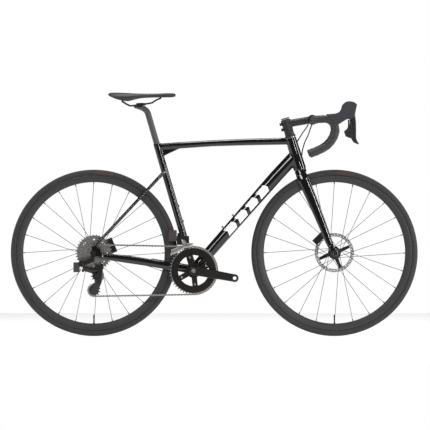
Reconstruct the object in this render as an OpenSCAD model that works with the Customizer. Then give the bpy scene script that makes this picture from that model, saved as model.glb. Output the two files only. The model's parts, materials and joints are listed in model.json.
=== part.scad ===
/* [Wheels] */
// Outer radius of both tyres
tyre_r = 339; // [337:0.5:340]
// Width of both tyres
tyre_w = 28; // [25:0.5:28]
// Radius of the inner edge of both rims
rim_inner_r = 288; // [286:1:290]
// Spokes on each side of a wheel
spokes_per_side = 12; // [12:12:12]
// Diameter of a spoke
spoke_d = 2; // [1.8:0.1:2]

/* [Frame] */
// Distance between the two wheel axles
wheelbase = 979.6; // [979.6:0.1:979.6]
// Outer diameter of the seat tube
seat_tube_d = 29.5; // [29:0.5:31]
// Outer diameter of the seatpost
seatpost_d = 24.6; // [24:0.2:24.8]
// Width of the down tube
down_tube_w = 46; // [42:1:50]
// Width of the top tube
top_tube_w = 32; // [28:1:34]

/* [Drivetrain] */
// Length of a crank arm from the bottom bracket to the pedal eye
crank_length = 170; // [165:2.5:172.5]
// Diameter of the pedal thread in a crank arm
pedal_hole_d = 14.3; // [14.2:0.1:14.4]
// Thickness of a sprocket tooth
tooth_t = 1.8; // [1.6:0.1:1.8]

/* [Handlebar] */
// Width of the handlebar between the hoods
bar_w = 418; // [400:2:440]
// Diameter of the handlebar under the tape
bar_d = 24; // [22:0.5:24]
// Thickness of the bar tape
tape_t = 3.2; // [2:0.1:3.4]

/* [Hidden] */

axle_z = tyre_r;
rear_x = -wheelbase / 2;
front_x = wheelbase / 2;
bb = [-84, 0, 268];
pitch = 12.7;
chain_y = -49.5;
round_fn = 48;
fine_fn = 96;

// Steering axis: a line in the mid plane, given by its x at height 328.2 and its slope.
steer_angle = 16.5;
function steer_x(z) = 453.4 - 0.2962 * (z - 328.2);

module along_steer(z) {
    translate([steer_x(z), 0, z]) rotate([0, -steer_angle, 0]) children();
}

// Seat tube axis through the bottom bracket.
seat_angle = 16.2;
seat_length = 539;
module along_seat(d) {
    translate(bb) rotate([0, -seat_angle, 0]) translate([0, 0, d]) children();
}

// --- Lofting ---------------------------------------------------------------

function unit(v) = v / norm(v);
function mid_tangent(p, i) =
    unit(p[min(i + 1, len(p) - 1)] - p[max(i - 1, 0)]);

// One elliptical ring across tangent t: half width a sideways (towards the y axis), half depth b.
function ring(c, t, a, b, n) =
    let (side = unit([0, 1, 0] - t * t[1]), up = cross(t, side))
    [for (i = [0:n - 1]) c + side * a * cos(360 * i / n) + up * b * sin(360 * i / n)];

// Rings carried along a path without twist, for routes that turn in space.
function carried_side(p, i) =
    i == 0
        ? let (t = mid_tangent(p, 0), r = abs(t[2]) < 0.9 ? [0, 0, 1] : [1, 0, 0]) unit(cross(t, r))
        : let (t = mid_tangent(p, i), s = carried_side(p, i - 1)) unit(s - t * (s * t));
function tube_rings(p, r, n) = [
    for (i = [0:len(p) - 1])
        let (t = mid_tangent(p, i), s = carried_side(p, i), u = cross(t, s))
        [for (k = [0:n - 1]) p[i] + s * r * cos(360 * k / n) + u * r * sin(360 * k / n)]
];

module loft(rings) {
    n = len(rings[0]);
    m = len(rings);
    points = [for (r = rings) each r];
    sides = [
        for (j = [0:m - 2], i = [0:n - 1])
            let (a = j * n + i, b = j * n + (i + 1) % n)
            each [[a, b, b + n], [a, b + n, a + n]]
    ];
    caps = concat(
        [[for (i = [0:n - 1]) n - 1 - i]],
        [[for (i = [0:n - 1]) (m - 1) * n + i]]
    );
    polyhedron(points, concat([for (f = sides) [f[2], f[1], f[0]]], [for (c = caps) [for (i = [n - 1:-1:0]) c[i]]]));
}

module tube(p, r, n = 12) { loft(tube_rings(p, r, n)); }

// A tapered oval tube. Each station is [centre, half width, half depth].
module oval_tube(stations, n = 24) {
    centres = [for (s = stations) s[0]];
    loft([for (i = [0:len(stations) - 1])
        ring(centres[i], mid_tangent(centres, i), stations[i][1], stations[i][2], n)]);
}

// Points between those of a route, on a smooth curve through all of them.
function smooth_at(p, i, t) =
    let (
        a = p[max(i - 1, 0)], b = p[i], c = p[i + 1], d = p[min(i + 2, len(p) - 1)]
    )
    0.5 * (2 * b + (c - a) * t + (2 * a - 5 * b + 4 * c - d) * t * t + (3 * b - a - 3 * c + d) * t * t * t);
function smooth(p, k) = [
    for (i = [0:len(p) - 2], j = [0:k - 1]) smooth_at(p, i, j / k),
    p[len(p) - 1]
];

module mirrored_pair() {
    children();
    mirror([0, 1, 0]) children();
}

module y_cylinder(x, z, y0, y1, r, fn = round_fn) {
    translate([x, y1, z]) rotate([90, 0, 0]) cylinder(h = y1 - y0, r = r, $fn = fn);
}

module y_tube(x, z, y0, y1, r_out, r_in) {
    difference() {
        y_cylinder(x, z, y0, y1, r_out);
        y_cylinder(x, z, y0 - 1, y1 + 1, r_in);
    }
}

// A flat plate standing in the x-z plane, from y0 to y1.
module side_plate(y0, y1) {
    translate([0, y1, 0]) rotate([90, 0, 0]) linear_extrude(y1 - y0) children();
}

// --- Frame -----------------------------------------------------------------

head_top_z = 809;
head_bottom_z = 678;
head_length = (head_top_z - head_bottom_z) / cos(steer_angle);
head_r = [26, 21.5];
steerer_r = 14.3;
bearing_h = 8;

module head_tube_solid() {
    along_steer(head_bottom_z) cylinder(h = head_length, r1 = head_r[0], r2 = head_r[1], $fn = fine_fn);
}

module seat_tube_solid() {
    along_seat(0) cylinder(h = seat_length, d = seat_tube_d, $fn = fine_fn);
}

shell_r = 24;
shell_half = 43.2;
module shell_solid() {
    y_cylinder(bb[0], bb[2], -shell_half, shell_half, shell_r, fine_fn);
}

module head_tube() {
    color([0.03, 0.03, 0.035])
    difference() {
        head_tube_solid();
        along_steer(head_bottom_z) {
            translate([0, 0, -1]) cylinder(h = head_length + 2, r = steerer_r + 2.2, $fn = fine_fn);
            translate([0, 0, -1]) cylinder(h = bearing_h + 1, r = 20.5, $fn = fine_fn);
            translate([0, 0, head_length - bearing_h]) cylinder(h = bearing_h + 1, r = 19, $fn = fine_fn);
        }
    }
}

module top_tube() {
    half_w = top_tube_w / 2;
    stations = [
        [[-225, 0, 771], half_w * 0.8, 13], [[-139, 0, 777], half_w * 0.85, 13.5],
        [[-9, 0, 785], half_w * 0.95, 12.8], [[121, 0, 790], half_w, 13.8],
        [[284, 0, 793.5], half_w * 1.1, 14.5], [[312, 0, 793.5], half_w * 1.15, 14.5],
    ];
    gusset = [[-215, 768], [-132, 768], [-196, 738], [-215, 726]];
    color([0.03, 0.03, 0.035])
    difference() {
        union() {
            oval_tube(stations, 24);
            side_plate(-8, 8) polygon(gusset);
        }
        seat_tube_solid();
        head_tube_solid();
        along_steer(head_top_z - 40) cylinder(h = 120, r = head_r[1] + 1.5, $fn = fine_fn);
    }
}

module down_tube() {
    half_w = down_tube_w / 2;
    stations = [
        [[-84, 0, 267], half_w * 1.05, 23], [[23.7, 0, 390], half_w, 23.5],
        [[137, 0, 519.5], half_w * 0.95, 25], [[251.7, 0, 650], half_w * 0.9, 26.5],
        [[322, 0, 726], half_w * 0.85, 26],
    ];
    color([0.03, 0.03, 0.035])
    difference() {
        oval_tube(stations, 24);
        shell_solid();
        seat_tube_solid();
        head_tube_solid();
        bottle_bolt_places() cylinder(h = 16, r = 2.6, center = true, $fn = 24);
    }
}

module seat_tube() {
    color([0.03, 0.03, 0.035])
    difference() {
        seat_tube_solid();
        shell_solid();
        along_seat(40) cylinder(h = seat_length, d = seatpost_d + 0.6, $fn = fine_fn);
        seat_bolt_places() cylinder(h = 16, r = 2.6, center = true, $fn = 24);
    }
}

module bb_shell() {
    color([0.03, 0.03, 0.035])
    difference() {
        shell_solid();
        y_cylinder(bb[0], bb[2], -shell_half - 1, shell_half + 1, 20.5, fine_fn);
    }
}

dropout_in = 71.2;
dropout_out = 79;
module dropout() {
    difference() {
        side_plate(-dropout_out, -dropout_in) {
            translate([rear_x, axle_z]) circle(r = 15, $fn = round_fn);
            polygon([[rear_x - 4, axle_z - 15], [rear_x + 36, axle_z - 20], [rear_x + 36, axle_z + 4],
                [rear_x + 8, axle_z + 36], [rear_x - 8, axle_z + 30]]);
        }
        y_cylinder(rear_x, axle_z, -dropout_out - 1, -dropout_in + 1, 6.02, fine_fn);
    }
}

module chain_stay() {
    stations = [
        [[-100, -25, 272], 9, 15], [[-165, -30, 282], 7, 15], [[-213, -35, 290], 7, 15],
        [[-286, -46, 303], 7, 15.2], [[-359, -58, 314], 6.5, 15], [[-430, -70, 322], 5.5, 12],
        [[-470, -75.2, 328], 3.6, 9],
    ];
    oval_tube(stations, 20);
}

module chain_stays() {
    color([0.03, 0.03, 0.035])
    difference() {
        mirrored_pair() {
            chain_stay();
            dropout();
        }
        shell_solid();
        seat_tube_solid();
        down_tube_end();
    }
}

// The lower end of the down tube, which the chain stays butt against.
module down_tube_end() {
    half_w = down_tube_w / 2;
    oval_tube([[[-84, 0, 267], half_w * 1.05, 23], [[23.7, 0, 390], half_w, 23.5]], 24);
}

module seat_stay() {
    stations = [
        [[-480, -75, 372], 3.6, 7], [[-466, -74, 388], 5, 6.5], [[-416, -63, 441], 6, 6.5],
        [[-320, -42, 544], 7, 6.5], [[-226, -18, 645], 7.5, 7.2], [[-203, -8, 669], 8, 7.5],
    ];
    oval_tube(stations, 20);
}

module seat_stays() {
    color([0.03, 0.03, 0.035])
    difference() {
        mirrored_pair() seat_stay();
        seat_tube_solid();
        mirrored_pair() dropout();
    }
}

module derailleur_hanger() {
    color([0.12, 0.12, 0.12])
    difference() {
        side_plate(-83, -dropout_out) hull() {
            translate([rear_x, axle_z]) circle(r = 10, $fn = round_fn);
            translate([rear_x - 6, axle_z - 26]) circle(r = 8, $fn = round_fn);
        }
        y_cylinder(rear_x, axle_z, -84, -dropout_out + 1, 6.02, fine_fn);
        y_cylinder(rear_x - 6, axle_z - 26, -84, -dropout_out + 1, 4, fine_fn);
    }
}

module headset_bearings() {
    color([0.5, 0.5, 0.52]) {
        along_steer(head_bottom_z) difference() {
            cylinder(h = bearing_h, r = 20.5, $fn = fine_fn);
            translate([0, 0, -1]) cylinder(h = bearing_h + 2, r = steerer_r + 0.06, $fn = fine_fn);
        }
        along_steer(head_bottom_z) translate([0, 0, head_length - bearing_h]) difference() {
            cylinder(h = bearing_h, r = 19, $fn = fine_fn);
            translate([0, 0, -1]) cylinder(h = bearing_h + 2, r = steerer_r + 0.06, $fn = fine_fn);
        }
    }
}

spindle_r = 14.45;
module bb_bearings() {
    color([0.2, 0.2, 0.2]) mirrored_pair()
        y_tube(bb[0], bb[2], -shell_half, -shell_half + 9, 20.5, spindle_r + 0.05);
}

// Two bottle bolts on the down tube and two on the seat tube, 64 mm apart.
bottle_spacing = 64;
down_tube_bolts = [34, 444];
down_tube_slope = 48.7;
module bottle_bolt_places() {
    for (i = [0, 1])
        translate([down_tube_bolts[0] + i * bottle_spacing * cos(down_tube_slope), 0,
            down_tube_bolts[1] + i * bottle_spacing * sin(down_tube_slope)])
            rotate([0, down_tube_slope - 90, 0]) children();
}

module seat_bolt_places() {
    for (d = [205, 205 + bottle_spacing])
        along_seat(d) translate([seat_tube_d / 2 + 0.2, 0, 0]) rotate([0, 90, 0]) children();
}

module button_bolt() {
    difference() {
        union() {
            cylinder(h = 3, r = 4.4, $fn = round_fn);
            translate([0, 0, -7]) cylinder(h = 7, r = 2.5, $fn = 24);
        }
        translate([0, 0, 1.2]) cylinder(h = 3, r = 1.8, $fn = 6);
    }
}

module bottle_bolts() {
    color([0.1, 0.1, 0.1]) {
        bottle_bolt_places() translate([0, 0, 0.6]) button_bolt();
        seat_bolt_places() button_bolt();
    }
}

module rear_thru_axle() {
    color([0.15, 0.15, 0.15]) {
        y_cylinder(rear_x, axle_z, -83, dropout_out, 6, fine_fn);
        y_cylinder(rear_x, axle_z, dropout_out, dropout_out + 3, 9, fine_fn);
    }
}

// --- Wheels ----------------------------------------------------------------

// Everything on a wheel is drawn about the origin with the axle along z, then stood up at x.
module wheel_at(x) {
    translate([x, 0, axle_z]) rotate([90, 0, 0]) children();
}

tyre_mid_r = tyre_r - tyre_w / 2;
rim_lip_r = 316;
bead_r = 311;
rim_half = 12.4;
channel_half = 9.6;
wall = 2.2;

module tyre_ring() {
    outer = tyre_w / 2;
    lip = acos((rim_lip_r + 0.3 - tyre_mid_r) / outer);
    section = concat(
        [for (a = [-lip:lip / 16:lip + 0.01]) [tyre_mid_r + outer * cos(a), outer * sin(a)]],
        [[rim_lip_r + 0.3, channel_half - 0.05], [bead_r, channel_half - 0.05], [bead_r, channel_half - 2.2]],
        [for (a = [lip * 0.82:-lip / 16:-lip * 0.82 - 0.01])
            [tyre_mid_r + (outer - wall) * cos(a), (outer - wall) * sin(a)]],
        [[bead_r, -channel_half + 2.2], [bead_r, -channel_half + 0.05], [rim_lip_r + 0.3, -channel_half + 0.05]]
    );
    rotate_extrude($fn = fine_fn) polygon(section);
}

module rim_ring() {
    outline = [
        [rim_inner_r, -4], [rim_inner_r, 4], [rim_inner_r + 3, 8.5], [300, rim_half], [rim_lip_r, rim_half],
        [rim_lip_r, channel_half], [bead_r - 0.1, channel_half], [bead_r - 2.6, 5], [bead_r - 2.6, -5],
        [bead_r - 0.1, -channel_half], [rim_lip_r, -channel_half], [rim_lip_r, -rim_half],
        [300, -rim_half], [rim_inner_r + 3, -8.5],
    ];
    cavity = [
        [rim_inner_r + 2, -3], [rim_inner_r + 2, 3], [rim_inner_r + 4.5, 7], [300.5, rim_half - 1.8],
        [307, rim_half - 1.8], [bead_r - 4.6, 4.4], [bead_r - 4.6, -4.4], [307, -rim_half + 1.8],
        [300.5, -rim_half + 1.8], [rim_inner_r + 4.5, -7],
    ];
    rotate_extrude($fn = fine_fn) difference() {
        polygon(outline);
        polygon(cavity);
    }
}

// Spokes: on each side they leave the flange every 30 degrees and cross alternately.
flange_r = 22;
cross_angle = 60;
flange_t = 2.6;
head_shift = flange_t / 2 + spoke_d / 2 + 0.95;
spoke_step = 360 / spokes_per_side;
rim_hole_y = 2;
nipple_r = 1.9;
spoke_end_r = rim_inner_r + 5;

function polar(r, a, z) = [r * cos(a), r * sin(a), z];
function spoke_hub_angle(side, i) = i * spoke_step + (side > 0 ? 0 : spoke_step / 2);
function spoke_turn(i) = i % 2 == 0 ? 1 : -1;
function spoke_inner(side, i, flange_z) =
    polar(flange_r, spoke_hub_angle(side, i), flange_z + spoke_turn(i) * head_shift);
function spoke_outer(side, i) =
    polar(spoke_end_r, spoke_hub_angle(side, i) + spoke_turn(i) * cross_angle, side * rim_hole_y);

module rod(a, b, r, fn = 16) {
    v = b - a;
    translate(a) rotate([0, acos(v[2] / norm(v)), atan2(v[1], v[0])]) cylinder(h = norm(v), r = r, $fn = fn);
}

// One spoke with its bent head through the flange and its nipple at the rim.
module spoke(side, i, flange_z) {
    a = spoke_inner(side, i, flange_z);
    b = spoke_outer(side, i);
    along = unit(b - a);
    turn = spoke_turn(i);
    head = polar(flange_r, spoke_hub_angle(side, i), flange_z);
    rod(a, b, spoke_d / 2);
    rod(b - along * 14, b, nipple_r);
    rod(head - [0, 0, turn * (flange_t / 2 + 0.2)], a + [0, 0, turn * 0.6], spoke_d / 2 + 0.1);
    rod(head - [0, 0, turn * (flange_t / 2 + 1.1)], head - [0, 0, turn * (flange_t / 2 + 0.15)], 1.9);
}

module spoke_set(flange_z) {
    for (side = [-1, 1], i = [0:spokes_per_side - 1])
        spoke(side, i, side > 0 ? flange_z[1] : flange_z[0]);
}

module drilled_rim(flange_z) {
    difference() {
        rim_ring();
        for (side = [-1, 1], i = [0:spokes_per_side - 1])
            let (a = spoke_inner(side, i, side > 0 ? flange_z[1] : flange_z[0]), b = spoke_outer(side, i))
                rod(b - unit(b - a) * 16, b + unit(b - a) * 1, nipple_r + 0.25);
    }
}

// Hub flanges: z is to the drive side, which is -y once the wheel stands up.
front_flange = [-22, 31];
rear_flange = [-33, 19];

module hub_flanges(flange_z) {
    for (side = [0, 1])
        translate([0, 0, flange_z[side]]) difference() {
            cylinder(h = flange_t, r = flange_r + 4, center = true, $fn = fine_fn);
            for (i = [0:spokes_per_side - 1])
                rotate(spoke_hub_angle(side == 1 ? 1 : -1, i)) translate([flange_r, 0, 0])
                    cylinder(h = flange_t + 1, r = spoke_d / 2 + 0.25, center = true, $fn = 16);
        }
}

rotor_r = 80;
axle_hole_r = 6.06;
module hub_body(flange_z, low, high, rotor_seat) {
    difference() {
        union() {
            hub_flanges(flange_z);
            translate([0, 0, flange_z[0]]) cylinder(h = flange_z[1] - flange_z[0], r = 13, $fn = fine_fn);
            translate([0, 0, rotor_seat]) cylinder(h = flange_z[0] - rotor_seat, r = 16.8, $fn = fine_fn);
            translate([0, 0, low]) cylinder(h = high - low, r = 10, $fn = fine_fn);
        }
        translate([0, 0, low - 1]) cylinder(h = high - low + 2, r = axle_hole_r, $fn = fine_fn);
    }
}

// Brake rotor: a thin drilled track on a four armed carrier.
rotor_t = 1.8;
module rotor(radius) {
    track = 14;
    difference() {
        cylinder(h = rotor_t, r = radius, center = true, $fn = fine_fn);
        cylinder(h = rotor_t + 1, r = radius - track, center = true, $fn = fine_fn);
        for (k = [0:35]) rotate(k * 10) translate([radius - 4 - 3 * (k % 3), 0, 0])
            cylinder(h = rotor_t + 1, r = 1.9, center = true, $fn = 16);
    }
    difference() {
        union() {
            cylinder(h = rotor_t, r = 24, center = true, $fn = fine_fn);
            for (k = [0:3]) rotate(k * 90) linear_extrude(rotor_t, center = true)
                polygon([[20, -9], [radius - track + 1, -3], [radius - track + 1, 9], [20, 7]]);
        }
        cylinder(h = rotor_t + 1, r = 16.85, center = true, $fn = fine_fn);
    }
}

front_rotor_z = -34.5;
rear_rotor_z = -55;

module front_tyre() { color([0.16, 0.16, 0.17]) wheel_at(front_x) tyre_ring(); }
module rear_tyre() { color([0.16, 0.16, 0.17]) wheel_at(rear_x) tyre_ring(); }
module front_rim() { color([0.2, 0.2, 0.21]) wheel_at(front_x) drilled_rim(front_flange); }
module rear_rim() { color([0.2, 0.2, 0.21]) wheel_at(rear_x) drilled_rim(rear_flange); }
module front_spokes() { color([0.1, 0.1, 0.1]) wheel_at(front_x) spoke_set(front_flange); }
module rear_spokes() { color([0.1, 0.1, 0.1]) wheel_at(rear_x) spoke_set(rear_flange); }
module front_hub() { color([0.12, 0.12, 0.12]) wheel_at(front_x) hub_body(front_flange, -49.6, 49.6, -37.5); }
module rear_hub() { color([0.12, 0.12, 0.12]) wheel_at(rear_x) hub_body(rear_flange, -70.9, 24.6, -58); }
module front_rotor() {
    color([0.75, 0.75, 0.76]) wheel_at(front_x) translate([0, 0, front_rotor_z]) rotate(20) rotor(rotor_r);
}
module rear_rotor() {
    color([0.75, 0.75, 0.76]) wheel_at(rear_x) translate([0, 0, rear_rotor_z]) rotate(20) rotor(rotor_r - 10);
}

// --- Drivetrain ------------------------------------------------------------

function pitch_r(n) = pitch / (2 * sin(180 / n));

// A toothed outline. Tooth gaps lie at the angles phase + k * 360 / n.
module toothed(n, phase) {
    r = pitch_r(n);
    step = 360 / n;
    points = [
        for (k = [0:n - 1])
            let (a = phase + (k + 0.5) * step, t = [cos(a), sin(a)], s = [-sin(a), cos(a)])
            each [
                (r - 4.1) * t - 3 * s, r * t - 2.1 * s, (r + 3.2) * t - 0.8 * s,
                (r + 3.2) * t + 0.8 * s, r * t + 2.1 * s, (r - 4.1) * t + 3 * s,
            ]
    ];
    polygon(points);
}

module sprocket(n, phase, hole_r, t = tooth_t) {
    linear_extrude(t, center = true) difference() {
        toothed(n, phase);
        circle(r = hole_r, $fn = fine_fn);
    }
}

// The chain runs clockwise, seen from the drive side, over four toothed wheels.
big_ring_teeth = 48;
small_ring_teeth = 35;
chain_cog_teeth = 17;
pulley_teeth = 12;
guide_pos = [-475, 247];
tension_pos = [-489, 187.9];
wheels = [
    [[bb[0], bb[2]], pitch_r(big_ring_teeth), big_ring_teeth],
    [tension_pos, pitch_r(pulley_teeth), pulley_teeth],
    [guide_pos, -pitch_r(pulley_teeth), pulley_teeth],
    [[rear_x, axle_z], pitch_r(chain_cog_teeth), chain_cog_teeth],
];

// Heading of the tangent line from wheel i to the next, and the side that its contact points lie on.
function heading(i) =
    let (a = wheels[i], b = wheels[(i + 1) % 4], v = b[0] - a[0])
    atan2(v[1], v[0]) + asin((b[1] - a[1]) / norm(v));
function left_of(h) = [-sin(h), cos(h)];
function line_start(i) = wheels[i][0] + wheels[i][1] * left_of(heading(i));
function line_end(i) = wheels[(i + 1) % 4][0] + wheels[(i + 1) % 4][1] * left_of(heading(i));
function line_pitches(i) = norm(line_end(i) - line_start(i)) / pitch;
function wrap(a) = a - 360 * floor(a / 360);
// Angle that the chain turns through on wheel i, arriving from line i - 1.
function turn_angle(i) =
    let (s = sign(wheels[i][1])) wrap(s * (heading((i + 3) % 4) - heading(i)));
function arc_pitches(i) = turn_angle(i) * wheels[i][2] / 360;

// Distance in pitches from the start of line 0 to the start of line i and to the start of arc i.
function line_at(i) = i == 0 ? 0 : line_at(i - 1) + line_pitches(i - 1) + arc_pitches(i);
function arc_at(i) = line_at(i - 1) + line_pitches(i - 1);
chain_total = line_at(3) + line_pitches(3) + arc_pitches(0);
link_count = 2 * round(chain_total / 2);
echo(chain_total = chain_total, link_count = link_count);

function on_line(i, s) =
    let (h = heading(i)) line_start(i) + (s - line_at(i)) * pitch * [cos(h), sin(h)];
function on_arc(i, start, s) =
    let (
        w = wheels[i], sgn = sign(w[1]), h = heading((i + 3) % 4) - sgn * (s - start) * 360 / w[2]
    )
    w[0] + w[1] * left_of(h);
function pin_at(s) =
    s < line_pitches(0) ? on_line(0, s)
    : s < line_at(1) ? on_arc(1, arc_at(1), s)
    : s < arc_at(2) ? on_line(1, s)
    : s < line_at(2) ? on_arc(2, arc_at(2), s)
    : s < arc_at(3) ? on_line(2, s)
    : s < line_at(3) ? on_arc(3, arc_at(3), s)
    : s < line_at(3) + line_pitches(3) ? on_line(3, s)
    : on_arc(0, line_at(3) + line_pitches(3), s);
pins = [for (k = [0:link_count - 1]) pin_at(k * chain_total / link_count)];
// Angle of a pin that lies on wheel i, which sets the phase of its teeth.
function first_pin_after(s) = ceil(s * link_count / chain_total - 0.0001);
function phase_of(i) =
    let (k = first_pin_after(i == 0 ? line_at(3) + line_pitches(3) : arc_at(i)),
        v = pins[k % link_count] - wheels[i][0])
    atan2(v[1], v[0]);

plate_t = 0.6;
inner_plate_y = 1.05;
outer_plate_y = 1.7;
chain_half_w = 2.45;
pin_r = 1.7;

module plate_outline(length, r) {
    circle(r = r, $fn = 24);
    translate([length, 0]) circle(r = r, $fn = 24);
    translate([0, -r * 0.72]) square([length, r * 1.44]);
}

module outer_link(length) {
    for (y = [outer_plate_y, -outer_plate_y - plate_t])
        translate([0, 0, y]) linear_extrude(plate_t) plate_outline(length, 3.9);
    for (x = [0, length])
        translate([x, 0, -chain_half_w]) cylinder(h = 2 * chain_half_w, r = pin_r, $fn = 24);
}

module inner_link(length) {
    difference() {
        union() {
            for (y = [inner_plate_y, -inner_plate_y - plate_t])
                translate([0, 0, y]) linear_extrude(plate_t) plate_outline(length, 3.9);
            for (x = [0, length])
                translate([x, 0, -inner_plate_y - 0.1]) cylinder(h = 2 * inner_plate_y + 0.2, r = 3.7, $fn = 24);
        }
        for (x = [0, length]) translate([x, 0, -3]) cylinder(h = 6, r = pin_r + 0.1, $fn = 24);
    }
}

module chain() {
    color([0.35, 0.33, 0.31])
    for (k = [0:link_count - 1])
        let (a = pins[k], b = pins[(k + 1) % link_count], v = b - a)
            translate([a[0], chain_y, a[1]]) rotate([90, 0, 0]) rotate(atan2(v[1], v[0]))
                if (k % 2 == 0) outer_link(norm(v)); else inner_link(norm(v));
}

cog_teeth = [10, 11, 12, 13, 15, 17, 19, 21, 24, 28, 32, 36];
cog_spacing = 3.6;
chain_cog_index = 5;
function cog_y(i) = chain_y + (i - chain_cog_index) * cog_spacing;

// Cogs ride on a freehub body, with a spacer ring between each two and a lockring outside.
module cassette() {
    color([0.35, 0.34, 0.33])
    difference() {
        union() {
            for (i = [0:len(cog_teeth) - 1])
                translate([rear_x, cog_y(i), axle_z]) rotate([90, 0, 0])
                    sprocket(cog_teeth[i], i == chain_cog_index ? phase_of(3) : 90 + i * 7, 9);
            y_cylinder(rear_x, axle_z, -70.6, -25, 13.2);
            y_cylinder(rear_x, axle_z, -44, -25, 22);
            y_cylinder(rear_x, axle_z, -32, -25, 34);
        }
        y_cylinder(rear_x, axle_z, -72, -24, axle_hole_r + 4.2);
        lightening_holes();
    }
    color([0.2, 0.2, 0.2])
    difference() {
        y_cylinder(rear_x, axle_z, -70.9, -25, axle_hole_r + 4.1);
        y_cylinder(rear_x, axle_z, -72, -24, axle_hole_r);
    }
}

module lightening_holes() {
    for (k = [0:7])
        translate([rear_x, -26.5, axle_z]) rotate([90, k * 45, 0]) translate([52, 0, 0])
            cylinder(h = 6.5, r = 7.5, $fn = 24);
}

crank_drop = 10.3;
arm_in = 58;
arm_out = 70;

// A crank arm pointing along +x from the bottom bracket, lying in the x-z plane.
module crank_arm(eye_r) {
    circle(r = 19, $fn = round_fn);
    translate([crank_length, 0]) circle(r = eye_r, $fn = round_fn);
    polygon([[0, -18.2], [0, 18.2], [crank_length, eye_r - 0.7], [crank_length, 0.7 - eye_r]]);
}

eye_r = 16.2;
module right_arm_at() { translate([bb[0], 0, bb[2]]) rotate([0, crank_drop, 0]) children(); }

module crank_spindle() {
    color([0.3, 0.3, 0.31]) y_cylinder(bb[0], bb[2], -arm_in - 4, 55, spindle_r, fine_fn);
}

module crank_right() {
    color([0.13, 0.11, 0.1])
    difference() {
        union() {
            right_arm_at() side_plate(-arm_out, -arm_in) crank_arm(eye_r);
            y_cylinder(bb[0], bb[2], -arm_in - 1, -56.5, 18);
        }
        y_cylinder(bb[0], bb[2], -arm_in - 4.02, -56, spindle_r + 0.02, fine_fn);
        right_arm_at() y_cylinder(crank_length, 0, -arm_out - 1, -arm_in + 1, pedal_hole_d / 2, fine_fn);
        y_cylinder(bb[0], bb[2], -arm_out - 1, -arm_out + 3, 9);
    }
}

module crank_left() {
    color([0.13, 0.11, 0.1])
    difference() {
        union() {
            translate([bb[0], 0, bb[2]]) rotate([0, crank_drop + 180, 0])
                side_plate(arm_in, arm_out) crank_arm(eye_r);
            y_cylinder(bb[0], bb[2], 44, arm_in + 1, 18);
        }
        translate([bb[0], 0, bb[2]]) rotate([0, crank_drop + 180, 0])
            y_cylinder(crank_length, 0, arm_in - 1, arm_out + 1, pedal_hole_d / 2, fine_fn);
        y_cylinder(bb[0], bb[2], 43, 55.02, spindle_r + 0.02, fine_fn);
        y_cylinder(bb[0], bb[2], arm_out - 3, arm_out + 1, 9);
    }
}

// Big ring with its web, small ring inside it, and the four arms of the spider.
ring_web_y = [-52.4, -48.6];
spider_angles = [20, 105, 209, 276];
module chainrings() {
    color([0.12, 0.1, 0.1])
    difference() {
        union() {
            translate([bb[0], chain_y, bb[2]]) rotate([90, 0, 0])
                sprocket(big_ring_teeth, phase_of(0), 84);
            y_tube(bb[0], bb[2], ring_web_y[0], ring_web_y[1], 90, 63);
            translate([bb[0], 0, bb[2]]) side_plate(ring_web_y[0] - 2, ring_web_y[1]) {
                circle(r = 30, $fn = round_fn);
                for (a = spider_angles) rotate(a) translate([0, -11]) square([66, 22]);
            }
            translate([bb[0], -42, bb[2]]) rotate([90, 0, 0]) sprocket(small_ring_teeth, 3, 63);
            y_tube(bb[0], bb[2], -48.6, -41.1, 66.5, 63);
        }
        y_cylinder(bb[0], bb[2], -60, -40, 21.05);
    }
}

// --- Rear derailleur -------------------------------------------------------

// The outer and inner links turn on slanted pins. The slant moves the cage down as it goes in.
link_top = [-531, 275];
link_end = [-484, 262];
slant = 33;
link_angle = atan2(link_end[1] - link_top[1], link_end[0] - link_top[0]);
link_length = norm(link_end - link_top);
outer_link_y = -69;

// Stands the link's own frame up: x along the link, z along the hinge pins.
module link_frame(y) {
    translate([link_top[0], y, link_top[1]]) rotate([0, -link_angle, 0]) rotate([slant, 0, 0]) children();
}

module rd_links() {
    color([0.2, 0.18, 0.17]) link_frame(outer_link_y) difference() {
        union() {
            translate([0, -3, -8]) cube([link_length, 6, 16]);
            for (x = [0, link_length]) translate([x, 0, -8]) cylinder(h = 16, r = 4.5, $fn = round_fn);
        }
        for (x = [0, link_length]) translate([x, 0, -9]) cylinder(h = 18, r = 2.05, $fn = round_fn);
    }
}

module link_pin(x) { translate([x, 0, -13]) cylinder(h = 26, r = 2, $fn = round_fn); }
module link_fork(x) {
    for (z = [-13, 8.4]) translate([x, 0, z]) cylinder(h = 4.6, r = 5, $fn = round_fn);
}

module rd_knuckle() {
    color([0.13, 0.11, 0.1]) {
        difference() {
            union() {
                side_plate(-95, -83.3) hull() {
                    translate([rear_x - 6, axle_z - 26]) circle(r = 11, $fn = 32);
                    translate([-528, 300]) circle(r = 9, $fn = 32);
                }
                translate([-546, -90, 284]) cube([26, 40, 26]);
                link_frame(outer_link_y) link_fork(0);
            }
            link_frame(outer_link_y) translate([-7, -7, -8.3]) cube([22, 14, 16.6]);
        }
        link_frame(outer_link_y) link_pin(0);
        y_cylinder(rear_x - 6, axle_z - 26, -83.3, -79, 3.9);
    }
}

module rd_battery() {
    color([0.14, 0.11, 0.1]) translate([-572, -84, 262]) cube([25.5, 26, 40]);
}

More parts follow.
